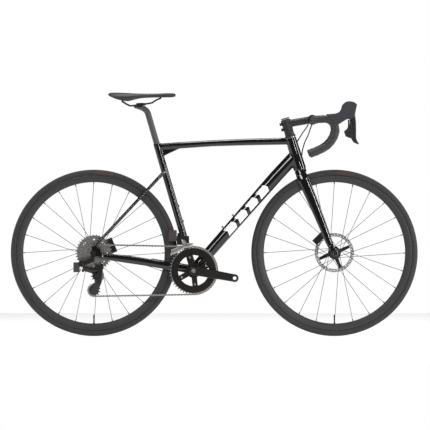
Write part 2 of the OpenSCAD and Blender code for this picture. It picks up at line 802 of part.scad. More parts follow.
cage_plate_y = [-54.6, -44.4];
module rd_body() {
    color([0.13, 0.11, 0.1]) {
        difference() {
            union() {
                side_plate(-76, -58) hull() {
                    translate([guide_pos[0], guide_pos[1]]) circle(r = 18, $fn = 32);
                    translate([-482, 270]) circle(r = 15, $fn = 32);
                    translate([-462, 285]) circle(r = 12, $fn = 32);
                }
                link_frame(outer_link_y) link_fork(link_length);
            }
            link_frame(outer_link_y) translate([link_length - 30, -7, -8.3]) cube([37, 14, 16.6]);
            y_cylinder(guide_pos[0], guide_pos[1], -77, -57, 5.05);
        }
        link_frame(outer_link_y) link_pin(link_length);
    }
}

// Two plates that carry both pulleys on pins, with a pivot shaft into the derailleur body.
module cage_outline() {
    hull() {
        translate(guide_pos) circle(r = 17, $fn = 32);
        translate([guide_pos[0] + 6, guide_pos[1] - 24]) circle(r = 12, $fn = 32);
    }
    hull() {
        translate([guide_pos[0] + 6, guide_pos[1] - 24]) circle(r = 12, $fn = 32);
        translate(tension_pos) circle(r = 17, $fn = 32);
    }
}

module rd_cage() {
    color([0.15, 0.12, 0.1]) {
        for (y = cage_plate_y) side_plate(y - 1.2, y + 1.2) cage_outline();
        for (p = [guide_pos, tension_pos])
            y_cylinder(p[0], p[1], cage_plate_y[0], cage_plate_y[1], 3, fine_fn);
        y_cylinder(guide_pos[0], guide_pos[1], -75, cage_plate_y[0], 5, fine_fn);
    }
}

module pulley(pos, i) {
    color([0.1, 0.1, 0.1])
    translate([pos[0], chain_y, pos[1]]) rotate([90, 0, 0]) {
        sprocket(pulley_teeth, phase_of(i), 3.06);
        difference() {
            cylinder(h = 7, r = 8, center = true, $fn = round_fn);
            cylinder(h = 8, r = 3.06, center = true, $fn = fine_fn);
        }
    }
}

module guide_pulley() { pulley(guide_pos, 2); }
module tension_pulley() { pulley(tension_pos, 1); }

// --- Front derailleur ------------------------------------------------------

fd_pivot = [-128, 388];
module front_derailleur() {
    color([0.13, 0.11, 0.1])
    difference() {
        union() {
            translate([-152, -36, 372]) cube([50, 24, 36]);
            translate([-150, -14, 392]) cube([34, 12, 28]);
            y_cylinder(fd_pivot[0], fd_pivot[1], -40, -30, 9);
        }
        seat_tube_solid();
        y_cylinder(fd_pivot[0], fd_pivot[1], -41, -24, 4.06, fine_fn);
    }
}

module fd_battery() {
    color([0.14, 0.11, 0.1]) translate([-186, -34, 386]) cube([33.8, 20, 46]);
}

// The cage straddles the chain above the big ring and hangs from a pivot behind the seat tube.
module fd_cage() {
    outer = [[-176, 352], [-150, 362], [-112, 378], [-86, 380], [-86, 366], [-120, 360], [-160, 336], [-178, 330]];
    color([0.5, 0.49, 0.48]) {
        side_plate(-57, -55.5) polygon(outer);
        side_plate(-43.6, -42.1) polygon(outer);
        translate([-112, -57, 376]) cube([26, 15, 3]);
        side_plate(-57, -42) polygon([[-178, 330], [-172, 333], [-172, 330]]);
        y_cylinder(fd_pivot[0], fd_pivot[1], -43, -25, 4, fine_fn);
        side_plate(-43.6, -40.3) polygon([[-134, 394], [-122, 394], [-108, 374], [-128, 370]]);
    }
}

// --- Seatpost and saddle ---------------------------------------------------

post_in = 150;
clamp = [-298, 944];
module seatpost() {
    head = [
        [[-266.7, 0, 897], 12.2, 12.2], [[-270.1, 0, 908.5], 12.2, 12.2], [[-276, 0, 918], 12.2, 12.1],
        [[-286, 0, 926], 12.6, 11.6], [[-299, 0, 931], 13.2, 10.6], [[-313, 0, 933.5], 13.8, 8.5],
        [[-327, 0, 935], 12, 5.5],
    ];
    color([0.2, 0.2, 0.21])
    difference() {
        union() {
            along_seat(seat_length - post_in) cylinder(h = post_in + 128, d = seatpost_d, $fn = fine_fn);
            oval_tube(head, 20);
            y_cylinder(clamp[0], clamp[1] - 9, -20, 20, 8, 32);
        }
        along_seat(seat_length - post_in - 1) cylinder(h = post_in + 60, d = seatpost_d - 5, $fn = fine_fn);
        y_cylinder(clamp[0], clamp[1], -21, 21, 11.3, fine_fn);
    }
}

rail_y = 22;
rail_r = 3.5;
// The cradle turns in the post's round seat and grips both rails between its jaws.
module rail_clamp() {
    color([0.15, 0.15, 0.15]) {
        difference() {
            union() {
                y_cylinder(clamp[0], clamp[1], -30, 30, 11, fine_fn);
                translate([clamp[0] - 19, -30, clamp[1] - 5]) cube([38, 60, 10.5]);
            }
            translate([clamp[0] - 40, -31, clamp[1] + 6]) cube([80, 62, 10]);
            for (y = [-rail_y, rail_y]) rail_hole(y);
            translate([clamp[0] - 30, -21.2, clamp[1] - 20]) cube([20.5, 42.4, 30]);
            translate([clamp[0] + 9.5, -21.2, clamp[1] - 20]) cube([20.5, 42.4, 30]);
        }
    }
}

rail_slope = 8;
module rail_hole(y) {
    translate([clamp[0], y, clamp[1] - 1]) rotate([0, 90 - rail_slope, 0])
        cylinder(h = 80, r = rail_r + 0.06, center = true, $fn = round_fn);
}

// Each rail runs straight through the clamp and bends up at both ends into the shell.
module saddle_rails() {
    color([0.12, 0.12, 0.12]) mirrored_pair() {
        translate([clamp[0], rail_y, clamp[1] - 1]) rotate([0, 90 - rail_slope, 0])
            cylinder(h = 76, r = rail_r, center = true, $fn = round_fn);
        back = [clamp[0] - 38 * cos(rail_slope), rail_y, clamp[1] - 1 - 38 * sin(rail_slope)];
        front = [clamp[0] + 38 * cos(rail_slope), rail_y, clamp[1] - 1 + 38 * sin(rail_slope)];
        tube([back + [1, 0, 0.1], back + [-6, 0.5, 0], [-356, 27, 944], [-376, 35, 957.3]], rail_r, 12);
        tube([front - [1, 0, 0.1], front + [8, -0.6, 2], [-236, 17, 961.5], [-216, 9, 970]], rail_r, 12);
    }
}

// Saddle stations from tail to nose: x, half width, height of the rim, height of the crown.
saddle_line = [
    [-431, 44, 979.5, 989.5], [-420, 60, 974, 991.5], [-400, 69, 966, 992], [-375, 70, 959, 991.5],
    [-350, 66, 956.5, 990.5], [-325, 56, 963, 989.5], [-295, 42, 969, 988.5], [-250, 27, 971.5, 988.5],
    [-210, 20.5, 972, 989.5], [-178, 17.5, 972.5, 990], [-163, 13, 974.5, 988.5], [-157, 6, 977, 986],
];
shell_top = 3;

function saddle_ring(s, low, high) = let (w = s[1], n = 24) [
    for (i = [0:n - 1])
        let (a = 360 * i / n, c = cos(a), d = sin(a))
        [s[0], w * sign(c) * pow(abs(c), 0.7), d > 0 ? low + (high - low) * pow(d, 0.8) : low + 2.5 * d]
];

module saddle_pad() {
    color([0.08, 0.08, 0.085])
        loft([for (s = saddle_line) saddle_ring(s, s[2] + 4.5, s[3])]);
}

module saddle_shell() {
    color([0.05, 0.05, 0.05])
    difference() {
        loft([for (i = [1:len(saddle_line) - 2]) let (s = saddle_line[i])
            [for (p = saddle_ring([s[0], s[1] * 0.86, s[2], s[3]], s[2] + shell_top, s[2] + 5)) p]]);
        loft([for (s = saddle_line) saddle_ring(s, s[2] + 4.5, s[3])]);
        saddle_rails();
    }
}

// --- Fork and cockpit ------------------------------------------------------

crown_top = 677.4;
module fork_blade() {
    stations = [
        [[349, -13, 669], 12, 19], [[355, -25, 656], 11.5, 22.5], [[362, -31, 640], 10, 23.5],
        [[396, -36, 562.5], 9.5, 21.5], [[416, -39.5, 514], 9, 19.5], [[436, -43.5, 465], 8.5, 17.8],
        [[449, -46.5, 432], 8, 16.5], [[467.6, -51, 383], 7, 14.5], [[479, -54.5, 358], 5.5, 12.5],
    ];
    oval_tube(stations, 20);
}

module fork_end(y0, y1) {
    difference() {
        side_plate(y0, y1) {
            translate([front_x, axle_z]) circle(r = 13, $fn = round_fn);
            polygon([[front_x - 11, axle_z - 6], [front_x + 10, axle_z + 8], [484, 374], [466, 364]]);
        }
        y_cylinder(front_x, axle_z, y0 - 1, y1 + 1, 6.02, fine_fn);
    }
}

steerer_top = 884;
module fork() {
    color([0.03, 0.03, 0.035])
    difference() {
        union() {
            along_steer(664) cylinder(h = (crown_top - 664) / cos(steer_angle), r = 24, $fn = fine_fn);
            along_steer(crown_top - 6)
                cylinder(h = (steerer_top - crown_top + 6) / cos(steer_angle), r = steerer_r, $fn = fine_fn);
            mirrored_pair() fork_blade();
            fork_end(-60, -50);
            fork_end(50, 60);
        }
        along_steer(700) cylinder(h = 260, r = steerer_r - 2.8, $fn = fine_fn);
    }
}

spacer_bottom = 809.6;
spacer_top = 835;
module headset_spacers() {
    color([0.06, 0.06, 0.06])
    along_steer(spacer_bottom) {
        length = (spacer_top - spacer_bottom) / cos(steer_angle);
        for (i = [0:2]) translate([0, 0, i * length / 3]) difference() {
            cylinder(h = length / 3 - 0.02, r = i == 0 ? 22 : 19, $fn = fine_fn);
            translate([0, 0, -1]) cylinder(h = length, r = steerer_r + 0.03, $fn = fine_fn);
        }
    }
}

bar_centre = [400, 881];
clamp_r = 15.9;
stem_drop = 10;
module stem() {
    top = [300, 866];
    color([0.1, 0.1, 0.105])
    difference() {
        union() {
            along_steer(spacer_top + 0.2) cylinder(h = 48, r = 19.5, $fn = fine_fn);
            oval_tube([[[296, 0, 864], 17, 15.5], [[330, 0, 870], 16, 15.2], [[384, 0, 879.4], 18, 15.2]], 20);
            y_cylinder(bar_centre[0], bar_centre[1], -21, 21, 20.5, fine_fn);
            along_steer(846) translate([-28, -9, -6]) cube([20, 18, 12]);
            along_steer(868) translate([-28, -9, -6]) cube([20, 18, 12]);
        }
        along_steer(spacer_top - 1) cylinder(h = 80, r = steerer_r + 0.03, $fn = fine_fn);
        y_cylinder(bar_centre[0], bar_centre[1], -22, 22, clamp_r + 0.05, fine_fn);
        side_plate(-22, 22) translate([bar_centre[0] + 2, bar_centre[1] - 24]) square([0.8, 48]);
        along_steer(836) translate([-40, -0.5, -1]) cube([30, 1, 60]);
        stem_bolt_places() cylinder(h = 40, r = 2.6, center = true, $fn = 24);
    }
}

module stem_bolt_places() {
    for (z = [846, 868]) along_steer(z) translate([-22, -10, 0]) rotate([90, 0, 0]) children();
}

module stem_bolts() {
    color([0.15, 0.15, 0.15]) {
        stem_bolt_places() {
            cylinder(h = 4, r = 4.2, $fn = round_fn);
            translate([0, 0, -17]) cylinder(h = 17.5, r = 2.5, $fn = 24);
        }
        along_steer(steerer_top + 0.2) cylinder(h = 4, r = 17, $fn = fine_fn);
    }
}

half_bar = bar_w / 2;
bar_route = [
    [400, -60, 881], [400, -140, 881], [403, -180, 881.5], [418, half_bar * -0.98, 882.5],
    [455, -half_bar, 883.5], [482, -half_bar - 1, 870], [491.5, -half_bar - 2, 848],
    [490, -half_bar - 3, 826], [479, -half_bar - 5, 801], [456, -half_bar - 7, 775],
    [419, -half_bar - 9, 754.5], [388, -half_bar - 10, 743],
];
bar_points = smooth(bar_route, 3);
tape_end_point = bar_points[len(bar_points) - 1];

module handlebar() {
    color([0.05, 0.05, 0.05]) {
        y_cylinder(bar_centre[0], bar_centre[1], -42, 42, clamp_r, fine_fn);
        mirrored_pair() {
            y_cone(-60.5, -41.9, bar_d / 2, clamp_r);
            tube(bar_points, bar_d / 2, 12);
        }
    }
}

module y_cone(y0, y1, r0, r1) {
    translate([bar_centre[0], y1, bar_centre[1]]) rotate([90, 0, 0])
        cylinder(h = y1 - y0, r1 = r1, r2 = r0, $fn = fine_fn);
}

// Tape from the middle of the flat part to the end of the drop.
tape_points = [for (i = [3:len(bar_points) - 1]) bar_points[i]];
module bar_tape() {
    color([0.07, 0.07, 0.08]) mirrored_pair() difference() {
        tube(tape_points, bar_d / 2 + tape_t, 12);
        tube(bar_points, bar_d / 2 + 0.05, 12);
    }
}

module bar_plugs() {
    last = len(bar_points) - 1;
    along = unit(bar_points[last] - bar_points[last - 1]);
    color([0.05, 0.05, 0.05]) mirrored_pair()
        rod(bar_points[last] + along * 0.1, bar_points[last] + along * 3.5, bar_d / 2 + 2, round_fn);
}

// --- Brake and shift levers ------------------------------------------------

hood_half = 15;
lever_pivot = [560, 916];
module hood_outline() {
    polygon([
        [459, 903], [498, 906], [513, 912], [519, 921], [525, 941], [538, 953], [552, 957], [567, 953], [578, 944],
        [574, 927], [570, 906], [567, 896], [551, 882], [540, 885.5], [531, 881], [506, 865], [490, 858], [470, 866],
    ]);
}

// The lever on the right; the left one is its mirror image.
module at_hood() { translate([0, -half_bar - 1, 0]) children(); }
lever_half = 5.5;

module lever_hoods() {
    color([0.08, 0.08, 0.09]) mirrored_pair() difference() {
        at_hood() union() {
            difference() {
                side_plate(-hood_half, hood_half) hood_outline();
                side_plate(-lever_half - 0.5, lever_half + 0.5)
                    polygon([[548, 900], [548, 926], [582, 932], [582, 880], [548, 880]]);
            }
            y_cylinder(lever_pivot[0], lever_pivot[1], -hood_half + 1, hood_half - 1, 2.5, fine_fn);
        }
        tube(bar_points, bar_d / 2 + tape_t + 0.15, 12);
    }
}

module lever_blade() {
    polygon([
        [554, 922], [566, 922], [570.5, 897], [573.5, 870], [574, 840], [574, 808], [578, 797], [586, 785],
        [581, 782], [571, 788], [563, 800], [560, 812], [558, 840], [557, 870], [553, 897],
    ]);
}

// The paddle swings inwards on a pin that stands out of the back of the brake lever.
paddle_pin_z = 876;
paddle_pin_r = 1.5;
module paddle_pin(r) {
    translate([547, 0, paddle_pin_z]) rotate([0, 90, 0]) cylinder(h = 12, r = r, $fn = fine_fn);
}

module brake_lever() {
    difference() {
        at_hood() union() {
            side_plate(-lever_half, lever_half) lever_blade();
            paddle_pin(paddle_pin_r);
        }
        at_hood() y_cylinder(lever_pivot[0], lever_pivot[1], -hood_half, hood_half, 2.55, fine_fn);
    }
}

module shift_paddle() {
    at_hood() difference() {
        side_plate(-4.5, 4.5)
            polygon([[548.3, 880.5], [553, 880.5], [555, 870], [556.6, 856], [557.2, 840], [558.4, 812], [553, 806],
                [539, 812], [532, 832], [547, 846], [548.5, 860]]);
        paddle_pin(paddle_pin_r + 0.05);
    }
}

module brake_lever_right() { color([0.1, 0.1, 0.11]) brake_lever(); }
module brake_lever_left() { color([0.1, 0.1, 0.11]) mirror([0, 1, 0]) brake_lever(); }
module shift_paddle_right() { color([0.09, 0.09, 0.1]) shift_paddle(); }
module shift_paddle_left() { color([0.09, 0.09, 0.1]) mirror([0, 1, 0]) shift_paddle(); }

// --- Brakes and hoses ------------------------------------------------------

module front_thru_axle() {
    color([0.15, 0.15, 0.15]) {
        y_cylinder(front_x, axle_z, -60, 60, 6, fine_fn);
        y_cylinder(front_x, axle_z, 60, 63, 9, fine_fn);
    }
}

// A caliper straddles its rotor: two halves joined past the rotor's edge, with a pad on each side.
caliper_inner = 10.4;
caliper_outer = 13;
caliper_slot = 3.2;
module caliper(length, depth, rotor_y) {
    difference() {
        translate([-length / 2, rotor_y - caliper_inner, -depth / 2])
            cube([length, caliper_inner + caliper_outer, depth]);
        translate([-length, rotor_y - caliper_slot, -depth])
            cube([length * 2, caliper_slot * 2, depth * 1.5 - 8]);
    }
    for (y = [-caliper_slot + 0.1, caliper_slot - 1.7])
        translate([-10, rotor_y + y, -depth / 2 + 1]) cube([20, 1.6, 14]);
}

module front_caliper() {
    color([0.1, 0.1, 0.1]) difference() {
        translate([426.3, 0, 396.2]) rotate([0, -45, 0]) caliper(50, 26, -front_rotor_z);
        fork();
    }
}

module rear_caliper() {
    color([0.1, 0.1, 0.1]) difference() {
        translate([-418.9, 0, 367.7]) rotate([0, 67, 0]) caliper(62, 26, -rear_rotor_z);
        chain_stays();
    }
}

hose_r = 2.5;
module rear_brake_hose() {
    route = [[384, 14, 863], [373, 16, 845], [360, 16, 827], [348, 12, 808], [338, 8, 792], [333, 5, 785]];
    color([0.03, 0.03, 0.03]) difference() {
        tube(smooth(route, 3), hose_r, 8);
        head_tube_solid();
    }
}

module front_brake_hose() {
    route = [[399, 30, 863], [390, 34, 839], [385, 36, 823], [378, 37, 807], [370, 37, 791], [364, 36, 772],
        [359, 35, 752], [357, 34, 732], [356, 33, 710], [356, 32, 692]];
    color([0.03, 0.03, 0.03]) tube(smooth(route, 3), hose_r, 8);
}

head_tube();
top_tube();
down_tube();
seat_tube();
bb_shell();
chain_stays();
seat_stays();
derailleur_hanger();
headset_bearings();
bb_bearings();
bottle_bolts();
rear_thru_axle();
rear_caliper();
rear_brake_hose();
front_derailleur();
fd_battery();
fd_cage();
chain();
seatpost();
rail_clamp();
saddle_rails();
saddle_shell();
saddle_pad();
fork();
stem();
stem_bolts();
headset_spacers();
handlebar();
bar_tape();
bar_plugs();
lever_hoods();
front_thru_axle();
front_caliper();
front_brake_hose();
brake_lever_right();
brake_lever_left();
shift_paddle_right();
shift_paddle_left();
front_tyre();
front_rim();
front_spokes();
front_hub();
front_rotor();
rear_tyre();
rear_rim();
rear_spokes();
rear_hub();
rear_rotor();
cassette();
crank_spindle();
crank_right();
crank_left();
chainrings();
rd_knuckle();
rd_battery();
rd_links();
rd_body();
rd_cage();
guide_pulley();
tension_pulley();
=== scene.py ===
"""Looks of the road bicycle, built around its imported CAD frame."""

import json
import math

import bmesh
import bpy
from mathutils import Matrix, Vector


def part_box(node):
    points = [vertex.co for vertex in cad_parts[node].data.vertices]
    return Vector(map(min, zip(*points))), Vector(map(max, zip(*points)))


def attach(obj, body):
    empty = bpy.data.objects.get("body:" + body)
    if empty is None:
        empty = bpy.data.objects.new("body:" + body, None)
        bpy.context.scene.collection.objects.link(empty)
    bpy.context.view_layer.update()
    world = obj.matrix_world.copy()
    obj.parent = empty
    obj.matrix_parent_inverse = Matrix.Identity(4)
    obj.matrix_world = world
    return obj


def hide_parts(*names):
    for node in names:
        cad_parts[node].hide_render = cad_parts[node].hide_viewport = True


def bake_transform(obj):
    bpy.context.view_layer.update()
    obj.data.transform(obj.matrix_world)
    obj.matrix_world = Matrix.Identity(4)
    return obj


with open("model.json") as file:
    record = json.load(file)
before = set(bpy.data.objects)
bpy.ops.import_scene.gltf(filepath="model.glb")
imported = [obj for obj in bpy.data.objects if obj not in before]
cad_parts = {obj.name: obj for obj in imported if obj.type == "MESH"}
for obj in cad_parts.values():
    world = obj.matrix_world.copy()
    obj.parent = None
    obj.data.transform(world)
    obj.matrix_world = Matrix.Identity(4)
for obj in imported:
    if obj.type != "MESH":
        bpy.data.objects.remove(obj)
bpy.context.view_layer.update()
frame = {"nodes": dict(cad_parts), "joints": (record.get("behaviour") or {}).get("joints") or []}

JOINTS = {joint["name"]: joint for joint in frame["joints"]}
REAR_AXLE = Vector(JOINTS["rear_wheel_spin"]["pos_m"])
FRONT_AXLE = Vector(JOINTS["front_wheel_spin"]["pos_m"])
CRANK_AXIS = Vector(JOINTS["crank_spin"]["pos_m"])
TYRE_R = REAR_AXLE.z
MM = 0.001
SMOOTH_BELOW = math.radians(40)
BEVEL_ABOVE = math.radians(35)


# --- Mesh helpers ----------------------------------------------------------

def mm(x, y, z):
    """A point given in millimetres of the shared frame, in metres."""
    return Vector((x, y, z)) * MM


def mesh_object(name, vertices, faces, smooth=True):
    mesh = bpy.data.meshes.new(name)
    mesh.from_pydata([tuple(v) for v in vertices], [], faces)
    mesh.validate()
    mesh.polygons.foreach_set("use_smooth", [smooth] * len(mesh.polygons))
    obj = bpy.data.objects.new(name, mesh)
    bpy.context.scene.collection.objects.link(obj)
    return obj


def recalc(obj):
    """Points all face normals outwards."""
    bm = bmesh.new()
    bm.from_mesh(obj.data)
    bmesh.ops.recalc_face_normals(bm, faces=bm.faces)
    bm.to_mesh(obj.data)
    bm.free()
    return obj


def loft(name, rings, cyclic=False):
    """Skins rings of equal length. Cyclic joins the last ring to the first, or else both ends close."""
    count = len(rings[0])
    vertices = [v for ring in rings for v in ring]
    spans = len(rings) if cyclic else len(rings) - 1
    faces = []
    for j in range(spans):
        k = (j + 1) % len(rings)
        for i in range(count):
            n = (i + 1) % count
            faces.append((j * count + i, j * count + n, k * count + n, k * count + i))
    if not cyclic:
        faces.append(tuple(reversed(range(count))))
        faces.append(tuple((len(rings) - 1) * count + i for i in range(count)))
    return recalc(mesh_object(name, vertices, faces))


def revolve(name, profile, centre, segments=192):
    """Turns a closed profile of (radius, y) points about a y axis through centre."""
    rings = []
    for k in range(segments):
        angle = 2 * math.pi * k / segments
        c, s = math.cos(angle), math.sin(angle)
        rings.append([centre + Vector((r * c, y, r * s)) for r, y in profile])
    return loft(name, rings, cyclic=True)


def smooth_route(points, steps):
    """A Catmull-Rom curve through the points."""
    route = []
    for i in range(len(points) - 1):
        a, b = points[max(i - 1, 0)], points[i]
        c, d = points[i + 1], points[min(i + 2, len(points) - 1)]
        for j in range(steps):
            t = j / steps
            route.append(0.5 * (2 * b + (c - a) * t + (2 * a - 5 * b + 4 * c - d) * t * t
                                + (3 * b - a - 3 * c + d) * t ** 3))
    route.append(points[-1])
    return route


def route_frames(points):
    """Tangent and two side vectors at each point, carried along without twist."""
    frames = []
    side = None
    for i, _ in enumerate(points):
        t = (points[min(i + 1, len(points) - 1)] - points[max(i - 1, 0)]).normalized()
        if side is None:
            side = t.cross(Vector((0, 0, 1)) if abs(t.z) < 0.9 else Vector((1, 0, 0)))
        side = (side - t * side.dot(t)).normalized()
        frames.append((t, side, t.cross(side)))
    return frames


def sweep(name, points, radius, sides=24):
    """A tube along points. radius is a number or a function of (distance, angle)."""
    rings, distance = [], 0.0
    frames = route_frames(points)
    for i, p in enumerate(points):
        if i:
            distance += (p - points[i - 1]).length
        _, u, v = frames[i]
        ring = []
        for k in range(sides):
            angle = 2 * math.pi * k / sides
            r = radius(distance, angle) if callable(radius) else radius
            ring.append(p + u * (r * math.cos(angle)) + v * (r * math.sin(angle)))
        rings.append(ring)
    return loft(name, rings)


def cad_copy(name, *nodes):
    """One new object that holds copies of the named CAD nodes' meshes."""
    bm = bmesh.new()
    for node in nodes:
        bm.from_mesh(frame["nodes"][node].data)
    bmesh.ops.remove_doubles(bm, verts=bm.verts, dist=1e-6)
    mesh = bpy.data.meshes.new(name)
    bm.to_mesh(mesh)
    bm.free()
    mesh.materials.clear()
    obj = bpy.data.objects.new(name, mesh)
    bpy.context.scene.collection.objects.link(obj)
    return obj


def apply_modifiers(obj):
    depsgraph = bpy.context.evaluated_depsgraph_get()
    mesh = bpy.data.meshes.new_from_object(obj.evaluated_get(depsgraph))
    obj.modifiers.clear()
    obj.data = mesh
    return obj


def flowing_skin(name, nodes, voxel, rounds):
    """CAD nodes grown together into one skin, with their edges and joints flowed smooth."""
    obj = cad_copy(name, *nodes)
    remesh = obj.modifiers.new("remesh", "REMESH")
    remesh.mode = "VOXEL"
    remesh.voxel_size = voxel
    remesh.adaptivity = 0.0
    soften = obj.modifiers.new("soften", "SMOOTH")
    soften.factor = 0.5
    soften.iterations = rounds
    apply_modifiers(obj)
    obj.data.polygons.foreach_set("use_smooth", [True] * len(obj.data.polygons))
    return obj


def bevelled(name, nodes, width):
    """CAD nodes with their sharp edges rounded off."""
    obj = cad_copy(name, *nodes)
    bm = bmesh.new()
    bm.from_mesh(obj.data)
    bmesh.ops.dissolve_limit(bm, angle_limit=math.radians(1.0), verts=bm.verts, edges=bm.edges)
    bm.to_mesh(obj.data)
    bm.free()
    bevel = obj.modifiers.new("bevel", "BEVEL")
    bevel.width = width
    bevel.segments = 2
    bevel.limit_method = "ANGLE"
    bevel.angle_limit = BEVEL_ABOVE
    bevel.use_clamp_overlap = True
    apply_modifiers(obj)
    shade_by_angle(obj)
    return obj


def shade_by_angle(obj):
    """Keeps edges sharp where two faces meet at more than SMOOTH_BELOW."""
    mesh = obj.data
    mesh.polygons.foreach_set("use_smooth", [True] * len(mesh.polygons))
    bm = bmesh.new()
    bm.from_mesh(mesh)
    for edge in bm.edges:
        edge.smooth = len(edge.link_faces) == 2 and edge.calc_face_angle(0.0) < SMOOTH_BELOW
    bm.to_mesh(mesh)
    bm.free()


def dress(obj, material, body, slot, *nodes):
    """Gives a new piece its material, its body and the CAD nodes that it stands for."""
    obj.data.materials.clear()
    obj.data.materials.append(material)
    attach(obj, body)
    if nodes:
        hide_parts(*nodes)
    return obj


def repaint(node, material):
    """Gives a CAD node that stays in the picture its material."""
    materials = frame["nodes"][node].data.materials
    materials.clear()
    materials.append(MATERIALS[material] if isinstance(material, str) else material)


# --- Materials -------------------------------------------------------------

class Nodes:
    """A short way to write a material's node tree."""

    def __init__(self, name):
        self.material = bpy.data.materials.new(name)
        self.material.use_nodes = True
        self.tree = self.material.node_tree
        self.shader = self.tree.nodes["Principled BSDF"]
        self.place = self.tree.nodes.new("ShaderNodeTexCoord").outputs["Object"]

    def link(self, source, target):
        self.tree.links.new(source, target)

    def node(self, kind, **inputs):
        made = self.tree.nodes.new(kind)
        for key, value in inputs.items():
            made.inputs[key.replace("_", " ")].default_value = value
        return made

    def noise(self, scale, detail=3.0, roughness=0.5, source=None):
        made = self.node("ShaderNodeTexNoise", Scale=scale, Detail=detail, Roughness=roughness)
        self.link(source or self.place, made.inputs["Vector"])
        return made.outputs["Fac"]

    def math(self, operation, a, b=None):
        made = self.tree.nodes.new("ShaderNodeMath")
        made.operation = operation
        for socket, value in zip(made.inputs, (a, b)):
            if value is None:
                continue
            if isinstance(value, (int, float)):
                socket.default_value = value
            else:
                self.link(value, socket)
        return made.outputs[0]

    def between(self, value, low, high):
        """1 where value lies between low and high, and 0 elsewhere."""
        return self.math("MULTIPLY", self.math("GREATER_THAN", value, low), self.math("LESS_THAN", value, high))

    def span(self, source, low, high):
        """Maps 0..1 to low..high."""
        made = self.node("ShaderNodeMapRange")
        made.inputs["To Min"].default_value = low
        made.inputs["To Max"].default_value = high
        self.link(source, made.inputs["Value"])
        return made.outputs["Result"]

    def mix(self, factor, a, b):
        made = self.tree.nodes.new("ShaderNodeMix")
        made.data_type = "RGBA"
        self.link(factor, made.inputs["Factor"])
        for key, value in (("A", a), ("B", b)):
            socket = [s for s in made.inputs if s.name == key and s.type == "RGBA"][0]
            if isinstance(value, tuple):
                socket.default_value = (*value, 1)
            else:
                self.link(value, socket)
        return [s for s in made.outputs if s.type == "RGBA"][0]

    def bump(self, height, strength, distance):
        made = self.node("ShaderNodeBump", Strength=strength, Distance=distance)
        self.link(height, made.inputs["Height"])
        self.link(made.outputs["Normal"], self.shader.inputs["Normal"])

    def colour(self, source):
        self.link(source, self.shader.inputs["Base Color"])

    def rough(self, source):
        self.link(source, self.shader.inputs["Roughness"])

    def set(self, **values):
        for key, value in values.items():
            self.shader.inputs[key.replace("_", " ")].default_value = value


def speckled(name, dark, light, rough, scale, bump_scale, bump_depth, metallic=0.0, coat=0.0):
    """The common surface: two close tones in a fine mottle, uneven gloss and a fine bump."""
    n = Nodes(name)
    n.colour(n.mix(n.noise(scale, 4.0), dark, light))
    n.rough(n.span(n.noise(scale * 0.6, 2.0), rough[0], rough[1]))
    n.bump(n.noise(bump_scale, 2.0), 0.35, bump_depth)
    n.set(Metallic=metallic, Coat_Weight=coat, Coat_Roughness=0.06, Specular_IOR_Level=0.5)
    return n.material


def dot_along(n, point, direction):
    """Distance along direction from point, in metres."""
    shifted = n.tree.nodes.new("ShaderNodeVectorMath")
    shifted.operation = "SUBTRACT"
    n.link(n.place, shifted.inputs[0])
    shifted.inputs[1].default_value = tuple(point)
    made = n.tree.nodes.new("ShaderNodeVectorMath")
    made.operation = "DOT_PRODUCT"
    n.link(shifted.outputs[0], made.inputs[0])
    made.inputs[1].default_value = tuple(direction)
    return made.outputs["Value"]


def turning_place(n, axle):
    """Forward and upward distance from a y axis through axle, and the radius from it."""
    forward = dot_along(n, axle, Vector((1, 0, 0)))
    up = dot_along(n, axle, Vector((0, 0, 1)))
    squares = n.math("ADD", n.math("MULTIPLY", forward, forward), n.math("MULTIPLY", up, up))
    return forward, up, n.math("SQRT", squares)


# The chevrons on the down tube: where the row starts, its slope and, in metres, its measures.
CHEVRON_START = mm(56, 0, 427)
CHEVRON_SLOPE = math.radians(48.7)
CHEVRON_ROW = 0.26
CHEVRON_PITCH = 0.0655
CHEVRON_HALF_WIDTH = 0.0165
CHEVRON_FILL = 0.72
CHEVRON_LEAN = 0.55


def frame_paint():
    """Gloss black lacquer, with a row of plain white chevrons along the down tube."""
    along = Vector((math.cos(CHEVRON_SLOPE), 0, math.sin(CHEVRON_SLOPE)))
    across = Vector((-math.sin(CHEVRON_SLOPE), 0, math.cos(CHEVRON_SLOPE)))
    n = Nodes("frame_lacquer")
    s = dot_along(n, CHEVRON_START, along)
    t = n.math("ABSOLUTE", dot_along(n, CHEVRON_START, across))
    slanted = n.math("ADD", s, n.math("MULTIPLY", t, CHEVRON_LEAN))
    repeated = n.math("FRACT", n.math("DIVIDE", slanted, CHEVRON_PITCH))
    stripe = n.math("LESS_THAN", repeated, CHEVRON_FILL)
    inside = n.between(slanted, 0.0, CHEVRON_ROW)
    band = n.math("MULTIPLY", inside, n.math("LESS_THAN", t, CHEVRON_HALF_WIDTH))
    mask = n.math("MULTIPLY", stripe, band)
    black = n.mix(n.noise(900.0, 2.0), (0.0035, 0.0035, 0.004), (0.0065, 0.0065, 0.0075))
    n.colour(n.mix(mask, black, (0.93, 0.93, 0.94)))
    n.rough(n.span(n.noise(14.0, 3.0), 0.08, 0.13))
    n.bump(n.noise(260.0, 1.0), 0.06, 0.0002)
    n.set(Coat_Weight=0.5, Coat_Roughness=0.03, Specular_IOR_Level=0.4)
    return n.material


def brushed(name, dark, light, rough, stretch, metallic=1.0):
    """Metal with fine lines along one direction."""
    n = Nodes(name)
    mapping = n.node("ShaderNodeMapping")
    mapping.inputs["Scale"].default_value = stretch
    n.link(n.place, mapping.inputs["Vector"])
    lines = n.noise(1.0, 3.0, 0.6, mapping.outputs["Vector"])
    n.colour(n.mix(lines, dark, light))
    n.rough(n.span(lines, rough[0], rough[1]))
    n.bump(lines, 0.15, 0.0001)
    n.set(Metallic=metallic)
    return n.material


